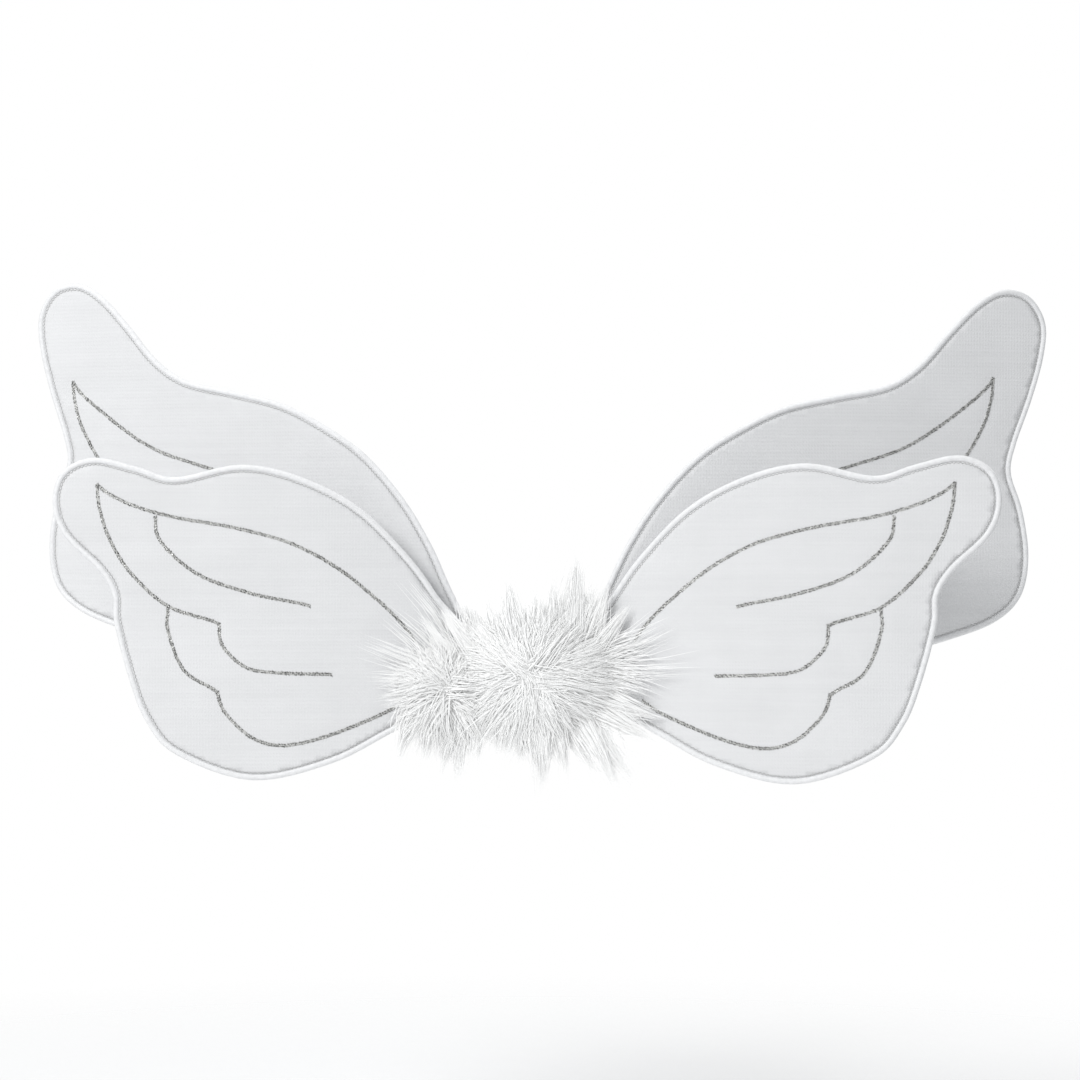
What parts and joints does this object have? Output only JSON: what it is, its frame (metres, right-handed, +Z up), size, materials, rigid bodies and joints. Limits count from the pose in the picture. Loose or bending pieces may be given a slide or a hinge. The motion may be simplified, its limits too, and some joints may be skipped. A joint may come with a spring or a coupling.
{
  "type": "fairy wings",
  "caption": "Child's dress-up wings: wire-framed fabric wings in a front and a rear pair on a soft centre pad, with a faux fur tuft outside and elastic arm loops inside.",
  "frame": {"origin": "middle of the lining patch, on the face that rests against the wearer's back", "axes": "+Z up as worn, +Y towards the wearer, -Y the outer side with the fur, +X to the viewer's right in the outer view, along the wingspan"},
  "size_m": [0.5837, 0.1357, 0.2828],
  "materials": {
    "panel_cloth": "fine matte white knit",
    "hem_cloth": "white piping with a grey stitch line",
    "glitter_thread": "silver metallic thread",
    "frame_wire": "drawn steel wire",
    "crimp_metal": "crimped sleeve",
    "rivet_metal": "dull rivet",
    "white_plastic": "matte moulding",
    "foam": "soft foam",
    "felt": "white felt",
    "lining": "soft brushed lining",
    "fur_cloth": "knit backing",
    "fur": "long white faux fur",
    "elastic": "ribbed white elastic"
  },
  "bodies": {
    "root": {"core_plate": "white_plastic", "front_clips": "white_plastic", "rear_clips": "white_plastic", "clip_rivets": "rivet_metal", "back_foam": "foam", "front_wadding": "foam", "back_felt": "felt", "lining_patch": "lining", "pad_gussets": "felt", "fur_backing": "fur_cloth", "fur_pile": "fur", "strap_tabs": "elastic", "tab_keepers": "elastic"},
    "left_strap": {"left_strap": "elastic"},
    "right_strap": {"right_strap": "elastic"},
    "front_left_wing": {"front_left_wire": "frame_wire", "front_left_ferrule": "crimp_metal", "front_left_hem": "hem_cloth", "front_left_outer_panel": "panel_cloth", "front_left_inner_panel": "panel_cloth", "front_left_embroidery": "glitter_thread"},
    "front_right_wing": {"front_right_wire": "frame_wire", "front_right_ferrule": "crimp_metal", "front_right_hem": "hem_cloth", "front_right_outer_panel": "panel_cloth", "front_right_inner_panel": "panel_cloth", "front_right_embroidery": "glitter_thread"},
    "rear_left_wing": {"rear_left_wire": "frame_wire", "rear_left_ferrule": "crimp_metal", "rear_left_hem": "hem_cloth", "rear_left_outer_panel": "panel_cloth", "rear_left_inner_panel": "panel_cloth", "rear_left_embroidery": "glitter_thread"},
    "rear_right_wing": {"rear_right_wire": "frame_wire", "rear_right_ferrule": "crimp_metal", "rear_right_hem": "hem_cloth", "rear_right_outer_panel": "panel_cloth", "rear_right_inner_panel": "panel_cloth", "rear_right_embroidery": "glitter_thread"}
  },
  "joints": [
    {"name": "front_left_swing", "type": "hinge", "parent": "root", "child": "front_left_wing", "pos_m": [-0.034, -0.017, 0.005], "axis": [0, 0, 1], "range_deg": [-6, 46]},
    {"name": "front_right_swing", "type": "hinge", "parent": "root", "child": "front_right_wing", "pos_m": [0.034, -0.017, 0.005], "axis": [0, 0, -1], "range_deg": [-6, 46]},
    {"name": "rear_left_swing", "type": "hinge", "parent": "root", "child": "rear_left_wing", "pos_m": [-0.034, -0.009, 0.005], "axis": [0, 0, 1], "range_deg": [-22, 4]},
    {"name": "rear_right_swing", "type": "hinge", "parent": "root", "child": "rear_right_wing", "pos_m": [0.034, -0.009, 0.005], "axis": [0, 0, -1], "range_deg": [-18, 8]},
    {"name": "left_strap_swing", "type": "hinge", "parent": "root", "child": "left_strap", "pos_m": [-0.026, 0.0024, 0], "axis": [0, 0, -1], "range_deg": [-15, 45]},
    {"name": "right_strap_swing", "type": "hinge", "parent": "root", "child": "right_strap", "pos_m": [0.026, 0.0024, 0], "axis": [0, 0, 1], "range_deg": [-15, 45]}
  ]
}
